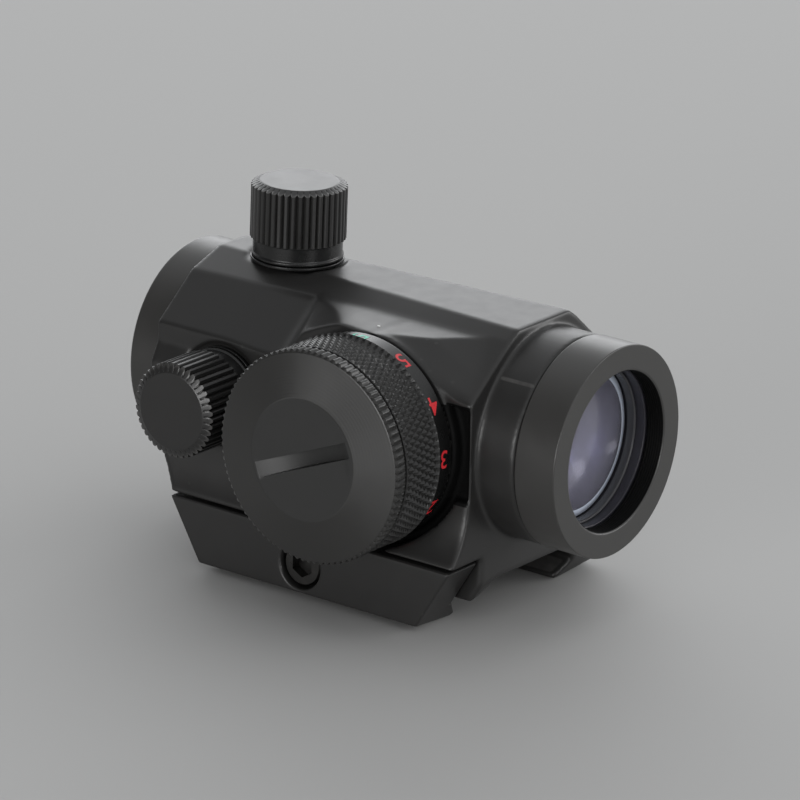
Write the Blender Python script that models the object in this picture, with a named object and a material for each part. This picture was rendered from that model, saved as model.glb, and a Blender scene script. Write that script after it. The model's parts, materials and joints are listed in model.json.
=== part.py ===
"""Red dot finder: compact tube sight on a rail clamp, with capped adjusters and a side brightness dial.

Metres, +Z up.  +X is the dial side and +Y points out of the objective.  The origin lies on the
flat seat that rests on the rail, on the centre line, straight below the axis of the dial.
"""
import math

import bmesh
import bpy
from mathutils import Matrix, Vector

# ---------------------------------------------------------------- driving dimensions, metres
AXIS_Z = 0.0163            # optical axis above the rail seat
FRONT_Y = 0.0252           # front face of the objective ring
SEAM_Y = 0.0196            # objective ring meets the collar
BODY_FRONT_Y = 0.0143      # flat front of the faceted body
BODY_REAR_Y = -0.0317
REAR_Y = -0.0368           # rear face of the eyepiece ring
RING_R = 0.0127
COLLAR_R = 0.01262
BORE_R = 0.0114            # bore of the housing
HOLE_R = 0.00958           # clear hole in the objective ring
TUBE_R = 0.0103            # inner optical tube, outside
TUBE_BORE_R = 0.0095
GAP = 0.0003               # clearance between neighbouring pieces
SLIVER = 0.00005           # keeps two cuts of one radius from sharing a surface

ROOF_Z = 0.02987
SHOULDER_Z = 0.0229        # lower edge of the sloping shoulder
SIDE_X = 0.01398
SEAT_HALF = 0.0078         # flat seat, half width
APEX_X = 0.0106            # widest point of the dovetail channel
APEX_Z = -0.00275
PLATE_X = 0.0167           # outer face of the clamp plate
SPLIT_Z = 0.0033           # housing above the clamp plate

DIAL_R = 0.01275
BAND_R = 0.0123            # number band, and the round boss behind it
BOSS_X = 0.0142            # face of the boss that the dial turns against
MOAT_R = 0.0134            # clearance cut round the dial
CAP_TOP_X = 0.0268         # outer face of the battery cap
SLOT_DEPTH = 0.0019        # coin slot at its deepest
SLOT_WIDTH = 0.0019
SLOT_CUTTER_R = 0.0134
SLOT_TURN = math.radians(22.6)   # how far the coin slot rests turned from level

TURRET_Y = -0.0217         # both adjusters stand in this plane
TURRET_BASE = 0.0134       # elevation flange above the optical axis
WINDAGE_OUT = 0.00045      # windage set stands this much further out than the elevation set
CAP_R = 0.00575

BOLT_Y = -0.0074
BOLT_Z = -0.0012
PIVOT_Y = 0.0133           # plane of the tube's two pivot axes

LARGE = 40                 # facets round the large turned pieces that show
MEDIUM = 28                # adjuster caps, and large pieces that are hidden inside
SMALL = 14

TO_X = (0.0, math.pi / 2, 0.0)      # turns local +Z to world +X
TO_Y = (-math.pi / 2, 0.0, 0.0)     # turns local +Z to world +Y
TO_Z = (0.0, 0.0, 0.0)


def clear_scene():
    for item in list(bpy.data.objects):
        bpy.data.objects.remove(item, do_unlink=True)


def material(name, colour, roughness, metallic, alpha=1.0):
    made = bpy.data.materials.new(name)
    made.use_nodes = True
    shader = made.node_tree.nodes["Principled BSDF"]
    shader.inputs["Base Color"].default_value = (*colour, 1.0)
    shader.inputs["Roughness"].default_value = roughness
    shader.inputs["Metallic"].default_value = metallic
    shader.inputs["Alpha"].default_value = alpha
    return made


FINISHES = {
    "anodised": ((0.022, 0.022, 0.024), 0.42, 0.6),
    "anodised_inner": ((0.012, 0.012, 0.013), 0.55, 0.5),
    "steel_black": ((0.03, 0.03, 0.032), 0.35, 0.9),
    "steel_bright": ((0.62, 0.62, 0.64), 0.28, 1.0),
    "brass": ((0.72, 0.55, 0.25), 0.3, 1.0),
    "rubber": ((0.012, 0.012, 0.012), 0.75, 0.0),
    "nylon": ((0.55, 0.54, 0.5), 0.5, 0.0),
    "board": ((0.03, 0.16, 0.07), 0.45, 0.0),
    "plastic_black": ((0.02, 0.02, 0.02), 0.5, 0.0),
    "mark_white": ((0.85, 0.85, 0.83), 0.5, 0.0),
    "led_red": ((0.8, 0.05, 0.03), 0.25, 0.0),
    "coated_glass": ((0.55, 0.62, 0.72), 0.02, 0.0),
    "clear_glass": ((0.9, 0.93, 0.95), 0.02, 0.0),
}


def finish(item, kind):
    """Give an object its own material, named after it."""
    colour, roughness, metallic = FINISHES[kind]
    alpha = 0.35 if kind.endswith("glass") else 1.0
    item.data.materials.clear()
    item.data.materials.append(material(item.name + "_finish", colour, roughness, metallic, alpha))


def add_mesh(name, bm, location=(0.0, 0.0, 0.0), rotation=TO_Z, kind=None):
    bmesh.ops.recalc_face_normals(bm, faces=bm.faces)
    mesh = bpy.data.meshes.new(name)
    bm.to_mesh(mesh)
    bm.free()
    mesh.shade_smooth()
    mesh.set_sharp_from_angle(angle=math.radians(30.0))
    item = bpy.data.objects.new(name, mesh)
    bpy.context.scene.collection.objects.link(item)
    item.location = location
    item.rotation_euler = rotation
    if kind:
        finish(item, kind)
    return item


def turned(name, profile, steps, location, rotation, kind=None):
    """Solid of revolution about local +Z from a closed outline of (radius, height) points."""
    bm = bmesh.new()
    points = [bm.verts.new((radius, 0.0, height)) for radius, height in profile]
    edges = [bm.edges.new((points[i], points[(i + 1) % len(points)])) for i in range(len(points))]
    on_axis = [edge for edge in edges if all(vert.co.x < 1e-9 for vert in edge.verts)]
    for edge in on_axis:
        bm.edges.remove(edge)
    geometry = list(bm.verts) + list(bm.edges)
    bmesh.ops.spin(bm, geom=geometry, cent=(0, 0, 0), axis=(0, 0, 1), angle=math.tau, steps=steps,
                   use_merge=True, use_duplicate=False)
    bmesh.ops.remove_doubles(bm, verts=bm.verts, dist=1e-7)
    return add_mesh(name, bm, location, rotation, kind)


def disc(name, radius, low, high, steps, location, rotation, kind=None):
    outline = [(0.0, low), (radius, low), (radius, high), (0.0, high)]
    return turned(name, outline, steps, location, rotation, kind)


def sleeve(name, inner, outer, low, high, steps, location, rotation, kind=None):
    outline = [(inner, low), (outer, low), (outer, high), (inner, high)]
    return turned(name, outline, steps, location, rotation, kind)


def o_ring(name, radius, thickness, height, steps, location, rotation):
    """Seal ring with a six-sided section."""
    section = arc(thickness / 2, 0.0, 300.0, 5, (radius, height))
    return turned(name, section, steps, location, rotation, "rubber")


def extruded(name, outline, low, high, plane="XZ", kind=None, ends=None):
    """Prism from a closed outline.  plane XZ extrudes along Y, YZ extrudes along X.

    ends, if given, returns the (low, high) positions for one outline point, for slanted ends.
    """
    bm = bmesh.new()
    layers = ([], [])
    for first, second in outline:
        span = ends(first, second) if ends else (low, high)
        for layer, along in zip(layers, span):
            place = (first, along, second) if plane == "XZ" else (along, first, second)
            layer.append(bm.verts.new(place))
    count = len(outline)
    for i in range(count):
        j = (i + 1) % count
        bm.faces.new((layers[0][i], layers[0][j], layers[1][j], layers[1][i]))
    for layer in layers:
        bm.faces.new(layer)
    return add_mesh(name, bm, kind=kind)


def box(name, low, high, location, rotation, kind=None):
    bm = bmesh.new()
    middle = (Vector(low) + Vector(high)) / 2
    size = Vector(high) - Vector(low)
    placing = Matrix.Translation(middle) @ Matrix.Diagonal((*size, 1.0))
    bmesh.ops.create_cube(bm, size=1.0, matrix=placing)
    return add_mesh(name, bm, location, rotation, kind)


def hide_tool(tool):
    tool.hide_render = True
    tool.display_type = "WIRE"


def combine(target, tools, operation):
    """One Boolean modifier that stays on the target, its tools hidden in a collection."""
    group = bpy.data.collections.new(f"{target.name}_{operation.lower()}")
    bpy.context.scene.collection.children.link(group)
    for tool in tools:
        hide_tool(tool)
        group.objects.link(tool)
    change = target.modifiers.new(group.name, "BOOLEAN")
    change.operation = operation
    change.operand_type = "COLLECTION"
    change.collection = group
    change.solver = "EXACT"


def cut(target, *tools):
    combine(target, tools, "DIFFERENCE")


def join(target, *tools):
    combine(target, tools, "UNION")


def arc(radius, start, stop, steps, centre=(0.0, 0.0)):
    """Points on a circle in a plane, from one angle to another, in degrees."""
    points = []
    for k in range(steps + 1):
        angle = math.radians(start + (stop - start) * k / steps)
        points.append((centre[0] + radius * math.cos(angle), centre[1] + radius * math.sin(angle)))
    return points


# ---------------------------------------------------------------- housing

def side_outline(roof_half, edge, waist):
    """Right half of the body section from the roof edge down to the clamp split."""
    return [(roof_half, ROOF_Z), edge, (SIDE_X, SHOULDER_Z), (SIDE_X, 0.0206), (waist[0], 0.0182),
            (waist[1], 0.0122), (waist[2], 0.0095), (waist[3], 0.0070), (waist[4], 0.0050),
            (PLATE_X, SPLIT_Z)]


def body_outline(roof_half, edge, waist):
    near = side_outline(roof_half, edge, waist)
    near += [(APEX_X, SPLIT_Z), (APEX_X, APEX_Z), (SEAT_HALF, 0.0)]
    far = [(-SEAT_HALF, 0.0), (-APEX_X, APEX_Z), (-0.0084, -0.00495), (-0.0090, -0.0054),
           (-PLATE_X, -0.0046)]
    mirrored = side_outline(roof_half, edge, waist)
    far += [(-x, z) for x, z in reversed(mirrored)]
    return near + far


def housing_block():
    """Faceted block, its roof and waist tapering from front to rear, with sloped lower ends."""
    front = body_outline(0.00516, (0.0067, 0.02887), (0.0139, 0.0137, 0.01395, 0.0145, 0.0155))
    rear = body_outline(0.00239, (0.00768, 0.02807), (0.0152, 0.0154, 0.0155, 0.0156, 0.0160))
    bm = bmesh.new()
    layers = [[bm.verts.new((x, BODY_REAR_Y, z)) for x, z in rear],
              [bm.verts.new((x, BODY_FRONT_Y, z)) for x, z in front]]
    count = len(front)
    for i in range(count):
        j = (i + 1) % count
        bm.faces.new((layers[0][i], layers[0][j], layers[1][j], layers[1][i]))
    for layer in layers:
        bm.faces.new(layer)
    ends = (((0.0, BODY_REAR_Y, 0.0120), (0.0, -0.0225, -0.0046), -1.0),
            ((0.0, BODY_FRONT_Y, 0.0), (0.0, 0.0118, -0.0044), 1.0))
    for top, bottom, outward in ends:
        along = Vector(bottom) - Vector(top)
        normal = Vector((0.0, -along.z, along.y)) * outward
        result = bmesh.ops.bisect_plane(bm, geom=bm.verts[:] + bm.edges[:] + bm.faces[:], dist=1e-7,
                                        plane_co=top, plane_no=normal, clear_outer=True)
        rim = [part for part in result["geom_cut"] if isinstance(part, bmesh.types.BMEdge)]
        bmesh.ops.holes_fill(bm, edges=[edge for edge in rim if edge.is_boundary])
    bmesh.ops.triangulate(bm, faces=[face for face in bm.faces if len(face.verts) == 4])
    return add_mesh("housing", bm, kind="anodised")


def moat_outline():
    """Crescent cut round the lower and front part of the boss, squared off at the front."""
    top_z = 0.0222
    low_z = 0.0109
    front_y = BODY_FRONT_Y - 0.00045
    inner_r = BAND_R + SLIVER
    outer_r = MOAT_R - SLIVER
    inner_start = math.degrees(math.asin((top_z - AXIS_Z) / inner_r))
    outer_start = math.degrees(math.asin((low_z - AXIS_Z) / outer_r))
    centre = (0.0, AXIS_Z)
    outer = arc(outer_r, outer_start, -200.0, 20, centre)
    inner = arc(inner_r, -200.0, inner_start, 24, centre)
    return [(front_y, top_z), (front_y, low_z)] + outer + inner


def housing():
    block = housing_block()
    middle = (0.0, 0.0, AXIS_Z)
    join(block,
         disc("tool_front_collar", COLLAR_R, BODY_FRONT_Y - 0.004, SEAM_Y, LARGE, middle, TO_Y),
         disc("tool_rear_collar", COLLAR_R, BODY_REAR_Y - SLIVER, -0.020, LARGE, middle, TO_Y),
         disc("tool_dial_boss", BAND_R, 0.002, BOSS_X, LARGE, middle, TO_X))
    detent = (0.0, 0.0, AXIS_Z + 0.0108)
    turret = (0.0, TURRET_Y, AXIS_Z)
    roof_seat = TURRET_BASE - GAP
    side_seat = roof_seat + WINDAGE_OUT
    spring_turn = (0.0, -0.75 * math.pi, 0.0)
    bolt = (0.0, BOLT_Y, BOLT_Z)
    cut(block,
        disc("tool_bore", BORE_R, REAR_Y, FRONT_Y, LARGE, middle, TO_Y),
        disc("tool_dial_room", MOAT_R, BOSS_X + SLIVER, 0.025, LARGE, middle, TO_X),
        extruded("tool_moat", moat_outline(), 0.0126, 0.020, plane="YZ"),
        disc("tool_switch_pocket", 0.0096, 0.0123, 0.016, LARGE, middle, TO_X),
        disc("tool_spindle_hole", 0.0015, 0.005, 0.013, SMALL, middle, TO_X),
        disc("tool_detent_hole", 0.0010, 0.0083, 0.016, SMALL, detent, TO_X),
        disc("tool_roof_spot", 0.0062, roof_seat, 0.020, MEDIUM, turret, TO_Z),
        disc("tool_roof_hole", 0.0035, 0.005, 0.021, MEDIUM, turret, TO_Z),
        disc("tool_side_spot", 0.0062, side_seat, 0.020, MEDIUM, turret, TO_X),
        disc("tool_side_hole", 0.0035, 0.005, 0.021, MEDIUM, turret, TO_X),
        disc("tool_spring_pocket", 0.0019, 0.005, 0.0172, SMALL, turret, spring_turn),
        disc("tool_bolt_hole", 0.0023, -0.0125, 0.013, SMALL, bolt, TO_X),
        disc("tool_nut_hole", 0.0031, -0.020, -0.0115, SMALL, bolt, TO_X))
    return block


# ---------------------------------------------------------------- optics

def optics():
    middle = (0.0, 0.0, AXIS_Z)
    pivot = (0.0, PIVOT_Y, AXIS_Z)

    def back(y):
        return y - PIVOT_Y

    shoulder = SEAM_Y + GAP
    turned("front_ring", [
        (0.0106, 0.0155), (0.0111, 0.0155), (0.0111, shoulder), (RING_R - 0.0002, shoulder),
        (RING_R, shoulder + 0.0002), (RING_R, FRONT_Y - 0.0003), (RING_R - 0.0003, FRONT_Y),
        (HOLE_R, FRONT_Y), (HOLE_R, 0.0229), (0.0106, 0.0229)], LARGE, middle, TO_Y, "anodised")
    rear_shoulder = BODY_REAR_Y - GAP
    turned("rear_ring", [
        (0.0086, REAR_Y), (RING_R - 0.0003, REAR_Y), (RING_R, REAR_Y + 0.0003),
        (RING_R, rear_shoulder), (0.0111, rear_shoulder), (0.0111, -0.0282), (0.0102, -0.0282),
        (0.0102, -0.0357), (0.0086, -0.0357)], LARGE, middle, TO_Y, "anodised")
    disc("rear_window", 0.0098, -0.0351, -0.0336, MEDIUM, middle, TO_Y, "clear_glass")
    o_ring("window_seal", 0.0094, 0.0004, -0.03540, MEDIUM, middle, TO_Y)
    sleeve("window_retainer", 0.0088, 0.0099, -0.0333, -0.0322, MEDIUM, middle, TO_Y, "anodised_inner")

    turned("optical_tube", [
        (0.0086, back(-0.0270)), (TUBE_R, back(-0.0270)), (TUBE_R, back(0.0226)),
        (TUBE_BORE_R, back(0.0226)), (TUBE_BORE_R, back(0.0157)), (0.0089, back(0.0152)),
        (0.0089, back(0.0120)), (0.0094, back(0.0110)), (0.0094, back(-0.0255)),
        (0.0086, back(-0.0255))], MEDIUM, pivot, TO_Y, "anodised_inner")
    sleeve("pivot_ring", 0.0106, 0.0111, -0.0012, 0.0012, MEDIUM, pivot, TO_Y, "nylon")
    o_ring("tube_seal", 0.01085, 0.0004, back(0.0150), MEDIUM, pivot, TO_Y)
    dome = [(0.0092 * k / 4, 0.0200 + 0.0010 * (1.0 - (k / 4) ** 2)) for k in range(5)]
    turned("objective_crown", [(0.0, back(0.0183))] + [(0.0092, back(0.0183))]
           + [(r, back(y)) for r, y in reversed(dome)], MEDIUM, pivot, TO_Y, "coated_glass")
    disc("objective_flint", 0.0092, back(0.0163), back(0.0180), MEDIUM, pivot, TO_Y, "coated_glass")
    sleeve("objective_retainer", 0.0088, 0.0092, back(0.0203), back(0.0214), MEDIUM, pivot, TO_Y,
           "anodised_inner")

    box("led_holder", (0.0058, back(-0.0255), -0.0013), (0.0089, back(-0.0225), 0.0013), pivot, TO_Z,
        "plastic_black")
    disc("led_emitter", 0.00075, -0.0222, -0.0214, SMALL, (0.0069, 0.0, AXIS_Z), TO_Y, "led_red")


def coil_spring(name, radius, wire, low, high, turns, location, rotation):
    """Closed round-wire spring along local +Z, made as a swept ring of points."""
    sides = 5
    steps = 10 * turns
    bm = bmesh.new()
    rings = []
    for k in range(steps + 1):
        share = k / steps
        angle = math.tau * turns * share
        rise = low + wire / 2 + (high - low - wire) * share
        ring = []
        for s in range(sides):
            around = math.tau * s / sides
            reach = radius + wire / 2 * math.cos(around)
            ring.append(bm.verts.new((reach * math.cos(angle), reach * math.sin(angle),
                                      rise + wire / 2 * math.sin(around))))
        rings.append(ring)
    for first, second in zip(rings, rings[1:]):
        for s in range(sides):
            t = (s + 1) % sides
            bm.faces.new((first[s], first[t], second[t], second[s]))
    bm.faces.new(rings[0])
    bm.faces.new(rings[-1])
    return add_mesh(name, bm, location, rotation, "steel_bright")


# ---------------------------------------------------------------- brightness dial and battery

def dial_group():
    middle = (0.0, 0.0, AXIS_Z)
    sleeve("switch_board", 0.0028, 0.0092, 0.0126, 0.0133, MEDIUM, middle, TO_X, "board")
    turned("dial_spindle", [
        (0.0, 0.0117), (0.0012, 0.0117), (0.0012, 0.0126), (0.0024, 0.0126), (0.0024, 0.0178),
        (0.0042, 0.0178), (0.0042, 0.0185), (0.0, 0.0185)], SMALL, middle, TO_X, "steel_bright")
    turned("dial", [
        (0.0027, 0.0149), (BAND_R, 0.0149), (BAND_R, 0.0173), (DIAL_R, 0.0175), (DIAL_R, 0.0234),
        (DIAL_R - 0.0002, 0.0236), (0.0120, 0.0236), (0.0120, 0.0228), (0.0113, 0.0228),
        (0.0113, 0.0205), (0.0107, 0.0203), (0.0107, 0.0175), (0.0027, 0.0175)],
        LARGE, middle, TO_X, "anodised")
    sleeve("switch_wiper", 0.0060, 0.0080, 0.0141, 0.0145, MEDIUM, middle, TO_X, "brass")
    sleeve("contact_insulator", 0.0018, 0.0104, 0.0189, 0.0193, MEDIUM, middle, TO_X, "plastic_black")
    disc("battery_contact", 0.0014, 0.0188, 0.0194, SMALL, middle, TO_X, "brass")
    disc("battery", 0.0100, 0.0197, 0.0229, MEDIUM, middle, TO_X, "steel_bright")
    o_ring("battery_seal", 0.01150, 0.0004, 0.0232, MEDIUM, middle, TO_X)
    cap = turned("battery_cap", [
        (0.0, 0.0232), (0.0103, 0.0232), (0.0103, 0.0210), (0.0110, 0.0210), (0.0110, 0.0239),
        (DIAL_R - 0.0002, 0.0239), (DIAL_R, 0.0241), (DIAL_R, 0.0254), (DIAL_R - 0.0003, 0.0256),
        (0.0073, CAP_TOP_X), (0.0, CAP_TOP_X)], LARGE, middle, TO_X, "anodised")
    cut(cap, coin_slot())
    ball = bmesh.new()
    bmesh.ops.create_icosphere(ball, subdivisions=1, radius=0.0008)
    add_mesh("detent_ball", ball, (0.0136, 0.0, AXIS_Z + 0.0108), TO_Z, "steel_bright")
    coil_spring("detent_spring", 0.00055, 0.0003, 0.0086, 0.0125, 5, (0.0, 0.0, AXIS_Z + 0.0108), TO_X)
    disc("index_mark", 0.0004, 0.0, 0.0002, SMALL, (0.0115, -0.0010, AXIS_Z + BAND_R + 0.0001), TO_Z,
         "mark_white")


def coin_slot():
    """Tool for the coin slot: a flat disc on edge, as left by a slitting cutter."""
    centre = (CAP_TOP_X - SLOT_DEPTH + SLOT_CUTTER_R, 0.0, AXIS_Z)
    return disc("tool_coin_slot", SLOT_CUTTER_R, -SLOT_WIDTH / 2, SLOT_WIDTH / 2, LARGE, centre,
                (SLOT_TURN, 0.0, 0.0))


# ---------------------------------------------------------------- adjusters

def adjuster(prefix, rotation, shift):
    """Seat, plunger, slotted screw, seal and screw cap of one adjuster, along local +Z."""
    place = (0.0, TURRET_Y, AXIS_Z)
    base = TURRET_BASE + shift
    thread_top = base + 0.0048
    turned(prefix + "_seat", [
        (0.0014, 0.0119), (0.0032, 0.0119), (0.0032, base), (0.0056, base), (0.0056, base + 0.00035),
        (0.0041, base + 0.00035), (0.0041, thread_top), (0.0029, thread_top), (0.0029, 0.0154),
        (0.0014, 0.0154)], MEDIUM, place, rotation, "anodised_inner")
    turned(prefix + "_plunger", [
        (0.0, 0.0106), (0.0007, 0.0108), (0.0011, 0.0113), (0.0011, 0.0152), (0.0, 0.0152)],
        SMALL, place, rotation, "steel_bright")
    screw = turned(prefix + "_screw", [
        (0.0, 0.0162), (0.0026, 0.0162), (0.0026, thread_top + GAP), (0.0036, thread_top + GAP),
        (0.0036, thread_top + 0.0014), (0.0, thread_top + 0.0014)], MEDIUM, place, rotation, "brass")
    cut(screw, box(prefix + "_tool_slot", (-0.0040, -0.0004, thread_top + 0.0008),
                   (0.0040, 0.0004, thread_top + 0.0020), place, rotation))
    o_ring(prefix + "_seal", 0.0049, 0.0005, base + 0.0007, MEDIUM, place, rotation)
    foot = base + 0.00105
    top = base + 0.00964
    turned(prefix + "_cap", [
        (0.0044, foot), (0.00536, foot), (0.00536, foot + 0.0016), (CAP_R, foot + 0.0017),
        (CAP_R, top - 0.0006), (0.0045, top), (0.0, top), (0.0, top - 0.0014), (0.0044, top - 0.0014)],
        MEDIUM, place, rotation, "anodised")


# ---------------------------------------------------------------- rail clamp

def plate_ends(across, height):
    """Rear and front end of the clamp plate, both leaning in towards the bottom."""
    fall = height - 0.0030
    return (-0.0270 - 0.603 * fall, 0.0140 + 0.589 * fall)


def clamp():
    inner_x = APEX_X + GAP + SLIVER
    outline = [(inner_x, SPLIT_Z - GAP), (PLATE_X, SPLIT_Z - GAP), (PLATE_X, -0.0046),
               (0.0090, -0.0054), (0.0086, -0.0050), (0.0105, -0.0031), (inner_x, -0.0031)]
    plate = extruded("clamp_plate", outline, 0.0, 0.0, kind="anodised", ends=plate_ends)
    bolt = (0.0, BOLT_Y, BOLT_Z)
    cut(plate,
        disc("tool_plate_hole", 0.0023, 0.0090, 0.0150, SMALL, bolt, TO_X),
        disc("tool_counterbore", 0.0029, 0.0135, 0.0180, MEDIUM, bolt, TO_X))
    sleeve("clamp_washer", 0.0022, 0.0026, 0.0137, 0.0141, SMALL, bolt, TO_X, "steel_bright")
    screw = turned("clamp_screw", [
        (0.0, -0.0150), (0.0016, -0.0150), (0.0019, -0.0147), (0.0019, 0.0144), (0.0026, 0.0144),
        (0.0026, 0.0160), (0.0024, 0.0162), (0.0, 0.0162)], MEDIUM, bolt, TO_X, "steel_black")
    socket = disc("tool_hex_socket", 0.0016, 0.0149, 0.0170, 6, bolt, TO_X)
    cut(screw, socket)
    sleeve("clamp_nut", 0.0022, 0.0028, -0.0164, -0.0118, MEDIUM, bolt, TO_X, "steel_black")


def main():
    clear_scene()
    housing()
    optics()
    coil_spring("return_spring", 0.0013, 0.0005, 0.0115, 0.0168, 4, (0.0, TURRET_Y, AXIS_Z),
                (0.0, -0.75 * math.pi, 0.0))
    dial_group()
    adjuster("elevation", TO_Z, 0.0)
    adjuster("windage", TO_X, WINDAGE_OUT)
    clamp()


main()
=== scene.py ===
import json
import math

import bmesh
import bpy
import numpy as np
from mathutils import Matrix, Vector


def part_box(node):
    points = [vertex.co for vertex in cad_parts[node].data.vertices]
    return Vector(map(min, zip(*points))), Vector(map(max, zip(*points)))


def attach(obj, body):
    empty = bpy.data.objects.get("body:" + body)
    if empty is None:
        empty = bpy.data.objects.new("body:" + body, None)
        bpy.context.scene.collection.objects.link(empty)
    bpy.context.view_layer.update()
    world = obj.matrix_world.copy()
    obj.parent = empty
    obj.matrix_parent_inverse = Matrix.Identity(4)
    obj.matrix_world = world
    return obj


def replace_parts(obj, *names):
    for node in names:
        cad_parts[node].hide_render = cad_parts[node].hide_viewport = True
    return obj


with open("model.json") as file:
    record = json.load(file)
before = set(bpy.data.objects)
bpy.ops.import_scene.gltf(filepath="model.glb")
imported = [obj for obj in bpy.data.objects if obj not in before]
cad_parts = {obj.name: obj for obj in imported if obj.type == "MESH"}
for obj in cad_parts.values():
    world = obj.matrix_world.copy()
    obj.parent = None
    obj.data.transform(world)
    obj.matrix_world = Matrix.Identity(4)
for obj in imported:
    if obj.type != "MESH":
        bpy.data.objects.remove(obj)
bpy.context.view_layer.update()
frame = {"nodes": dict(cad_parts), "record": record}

# Sizes are in millimetres and angles in degrees; meshes, lamps and shader scales are in metres.
MM = 0.001


def span(node):
    """Lowest and highest corner of a CAD node in millimetres."""
    low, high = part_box(node)
    return low / MM, high / MM


def middle(node):
    low, high = span(node)
    return (low + high) / 2


AXIS_Z = middle("dial").z               # optical axis, and the dial's axis, above the rail seat
FRONT_Y = span("front_ring")[1].y
REAR_Y = span("rear_ring")[0].y
TURRET_Y = middle("elevation_cap").y    # both adjusters stand in this plane
TURRET_TOP = span("elevation_cap")[1].z - AXIS_Z
WINDAGE_OUT = span("windage_cap")[1].x - TURRET_TOP
BOLT = middle("clamp_screw")
FLOOR_Z = span("housing")[0].z

ROOF_Z = span("housing")[1].z
BODY_FRONT_Y = 14.3
BODY_REAR_Y = -31.7
SIDE_X = 16.7              # widest part of the base
SPLIT_Z = 3.3              # under side of the body above the clamp plate
SHELF_Z = 28.5             # flat shelf over the dial
PANEL_FRONT_Y = -12.9      # front end of the sunk panel behind the dial
MOAT_FLOOR_X = 12.6        # bottom of the channel round the dial boss
BOSS_X = 14.25             # face of the boss that the dial turns against
BOSS_R = 12.3
DIAL_ROOM_R = 13.4
SPOT_R = 6.0               # spot faces that the adjusters stand in
COLLAR_R = 12.62
BORE_R = 11.4
CELL = 0.27                # grid step of the body's surface
PLATE_CELL = 0.17

TOP_SIDE_X = 13.98         # half width of the body just under its sloped facets
TOP_SIDE_Z = 20.6          # the side widens from here down to MIDDLE_Z
MIDDLE_Z = 18.2
FLARE_Z = 12.2             # the side flares out to the base below here
SEAT_X = 7.8               # half width of the rail seat
FLANK_X = 10.6             # half width of the rail channel at its widest
FLANK_Z = -2.75
POCKET_FOOT_Z = 10.9
POCKET_TOP_Z = 22.2
MOAT_RISE = 0.364          # slope of the channel's lower ends behind the boss
BOLT_HOLE_R = 2.3
ADJUSTER_HOLE_R = 3.5

RING_R = 12.7
DIAL_R = 12.75
BAND_R = 12.3
CAP_R = 5.75
CHAMFER_SLOPE = 0.45       # fall of an adjuster cap's top chamfer
CONE_R = 7.3               # where the battery cap's cone meets its flat middle
SLOT_TURN = 22.6
SLOT_DEPTH = 1.9
SLOT_CUTTER_R = 13.4
FIGURE_SIZE = 3.05
BAND_X = 16.15             # middle of the number band
FIGURES = ([(str(number), "red") for number in (1, 2, 3, 4, 5)]
           + [(str(number), "green") for number in (5, 4, 3, 2, 1)]
           + [("0", "white")] * 2)
FIRST_BEARING = -58.5      # of the first figure, from the objective's side upward
FIGURE_STEP = 30

# Place and direction of the optical axis, for pieces turned about it.
OPTIC_AXIS = ((0, 0, AXIS_Z), (0, 1, 0))


# ---------------------------------------------------------------- meshes

def add_mesh(name, vertices, faces, body, slot, *materials):
    """A smooth mesh object from millimetre points; it rides on a CAD body."""
    mesh = bpy.data.meshes.new(name)
    mesh.from_pydata((np.asarray(vertices) * MM).tolist(), [], faces)
    mesh.polygons.foreach_set("use_smooth", np.ones(len(mesh.polygons), bool))
    mesh.validate()
    piece = bpy.data.objects.new(name, mesh)
    bpy.context.scene.collection.objects.link(piece)
    for material in materials:
        mesh.materials.append(material)
    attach(piece, body)
    return piece


def soften(outline, radius, closed=False):
    """The outline with its corners cut by small arcs, and a support point beside each arc."""
    points = [Vector(p) for p in outline]
    count = len(points)
    result = []
    for i, p in enumerate(points):
        if not closed and i in (0, count - 1):
            result.append(p)
            continue
        before, after = points[i - 1], points[(i + 1) % count]
        to_before, to_after = before - p, after - p
        turn = to_before.angle(-to_after)
        if turn < math.radians(8):
            result.append(p)
            continue
        a_cut = min(radius, to_before.length * 0.3)
        b_cut = min(radius, to_after.length * 0.3)
        a, b = p + to_before.normalized() * a_cut, p + to_after.normalized() * b_cut
        result.append(p + to_before.normalized() * a_cut * 1.5)
        for t in (0.0, 0.33, 0.67, 1.0):
            result.append(a * (1 - t) ** 2 + p * 2 * t * (1 - t) + b * t * t)
        result.append(p + to_after.normalized() * b_cut * 1.5)
    return [tuple(p) for p in result]


def rows(low, high, longest, value):
    """Points at one radius from low to high, no further apart than longest."""
    count = max(2, math.ceil(abs(high - low) / longest) + 1)
    return [(value, h) for h in np.linspace(low, high, count)]


def spin(outline, sides, closed=False, relief=None):
    """Points and faces of an outline of (radius, height) pairs turned about local Z.
    relief(angle, radius, height) is the depth cut into the surface there."""
    rh = np.array(outline, float)
    angle = np.arange(sides) * (2 * math.pi / sides)
    r, h = np.broadcast_to(rh[:, 0], (sides, len(rh))), np.broadcast_to(rh[:, 1], (sides, len(rh)))
    if relief:
        r = r - relief(angle[:, None], r, h)
    points = np.stack([r * np.cos(angle)[:, None], r * np.sin(angle)[:, None], h], 2).reshape(-1, 3)
    steps = len(rh)
    ring = np.arange(sides)[:, None] * steps
    following = np.roll(ring, -1, 0)
    lower = np.arange(steps if closed else steps - 1)[None, :]
    upper = (lower + 1) % steps
    quads = np.stack([ring + lower, following + lower, following + upper, ring + upper], 2)
    return points, quads.reshape(-1, 4)


def weld_poles(points, quads):
    """The same mesh with points on the turning axis made into one, and their faces triangles."""
    on_axis = np.hypot(points[:, 0], points[:, 1]) < 1e-6
    number = np.arange(len(points))
    for height in np.unique(points[on_axis, 2]):
        same = np.where(on_axis & (points[:, 2] == height))[0]
        number[same] = same[0]
    faces = []
    for face in number[quads].tolist():
        face = list(dict.fromkeys(face))
        if len(face) > 2:
            faces.append(face)
    return faces


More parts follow.
